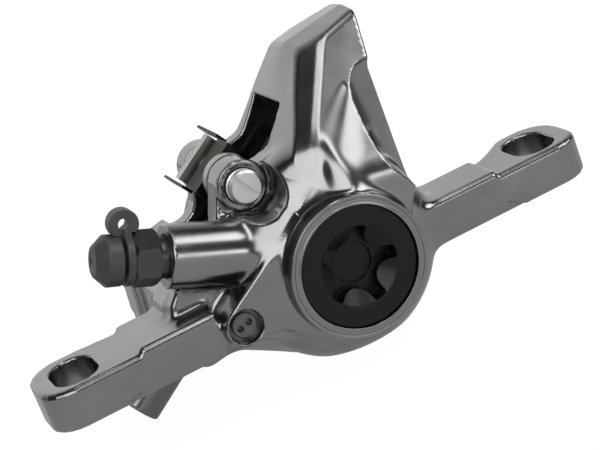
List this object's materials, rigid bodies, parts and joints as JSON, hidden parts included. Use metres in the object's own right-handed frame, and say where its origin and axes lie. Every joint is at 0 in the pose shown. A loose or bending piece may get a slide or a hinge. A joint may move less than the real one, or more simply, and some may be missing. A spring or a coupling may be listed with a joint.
{
  "type": "bicycle disc brake caliper",
  "caption": "Post mount hydraulic disc brake caliper for a bicycle, with a finned body, opposed pistons, pads on a slotted axle, and a capped bleed nipple.",
  "frame": {"origin": "midway between the two mounting slots, in the plane of the bolt head seats", "axes": "+X along the mounting arms towards the arm nearer the disc's centre, +Y from the outboard face towards the wheel, +Z along the mounting bolts towards their heads"},
  "size_m": [0.0862, 0.0385, 0.0486],
  "materials": {
    "body_metal": "satin gun-metal anodised",
    "cap_black": "satin black anodised",
    "seal_rubber": "moulded",
    "piston_resin": "ground resin",
    "insulator": "moulded",
    "pad_steel": "rolled plate",
    "lining": "resin lining with metal flecks",
    "spring_black": "black coated sheet",
    "axle_steel": "turned, bright",
    "clip_steel": "black oxide",
    "nipple_steel": "black oxide",
    "cap_rubber": "moulded",
    "plug_steel": "dark machined",
    "ring_metal": "bare machined"
  },
  "bodies": {
    "caliper": {"caliper_body": "body_metal", "bore_cap": "cap_black", "bore_cap_seal": "seal_rubber", "outer_piston_seal": "seal_rubber", "inner_piston_seal": "seal_rubber", "pad_spring": "spring_black", "port_plug": "plug_steel", "port_plug_seal": "seal_rubber", "inner_axle_ring": "ring_metal"},
    "outer_piston": {"outer_piston": "piston_resin", "outer_piston_insulator": "insulator"},
    "inner_piston": {"inner_piston": "piston_resin", "inner_piston_insulator": "insulator"},
    "outer_pad": {"outer_pad_plate": "pad_steel", "outer_pad_lining": "lining"},
    "inner_pad": {"inner_pad_plate": "pad_steel", "inner_pad_lining": "lining"},
    "pad_axle": {"pad_axle": "axle_steel", "pad_axle_clip": "clip_steel"},
    "bleed_nipple": {"bleed_nipple": "nipple_steel", "bleed_cap_strap": "cap_rubber"},
    "bleed_cap": {"bleed_cap": "cap_rubber"}
  },
  "joints": [
    {"name": "outer_piston_slide", "type": "slide", "parent": "caliper", "child": "outer_piston", "axis": [0, 1, 0], "range_m": [0, 0.0011]},
    {"name": "inner_piston_slide", "type": "slide", "parent": "caliper", "child": "inner_piston", "axis": [0, -1, 0], "range_m": [0, 0.0011]},
    {"name": "outer_pad_slide", "type": "slide", "parent": "caliper", "child": "outer_pad", "axis": [0, 1, 0], "range_m": [0, 0.0011]},
    {"name": "inner_pad_slide", "type": "slide", "parent": "caliper", "child": "inner_pad", "axis": [0, -1, 0], "range_m": [0, 0.0011]},
    {"name": "pad_axle_turn", "type": "hinge", "parent": "caliper", "child": "pad_axle", "pos_m": [-0.0053, 0, 0.01325], "axis": [0, -1, 0], "continuous": true},
    {"name": "bleed_nipple_turn", "type": "hinge", "parent": "caliper", "child": "bleed_nipple", "pos_m": [-0.0198, -0.0025, 0.00985], "axis": [-0.9272, 0, 0.3746], "range_deg": [0, 90]},
    {"name": "bleed_cap_pull", "type": "slide", "parent": "bleed_nipple", "child": "bleed_cap", "axis": [-0.9272, 0, 0.3746], "range_m": [0, 0.008]}
  ],
  "couplings": [
    {"joint": "inner_piston_slide", "follows": "outer_piston_slide", "ratio": 1},
    {"joint": "outer_pad_slide", "follows": "outer_piston_slide", "ratio": 1},
    {"joint": "inner_pad_slide", "follows": "outer_piston_slide", "ratio": 1}
  ]
}
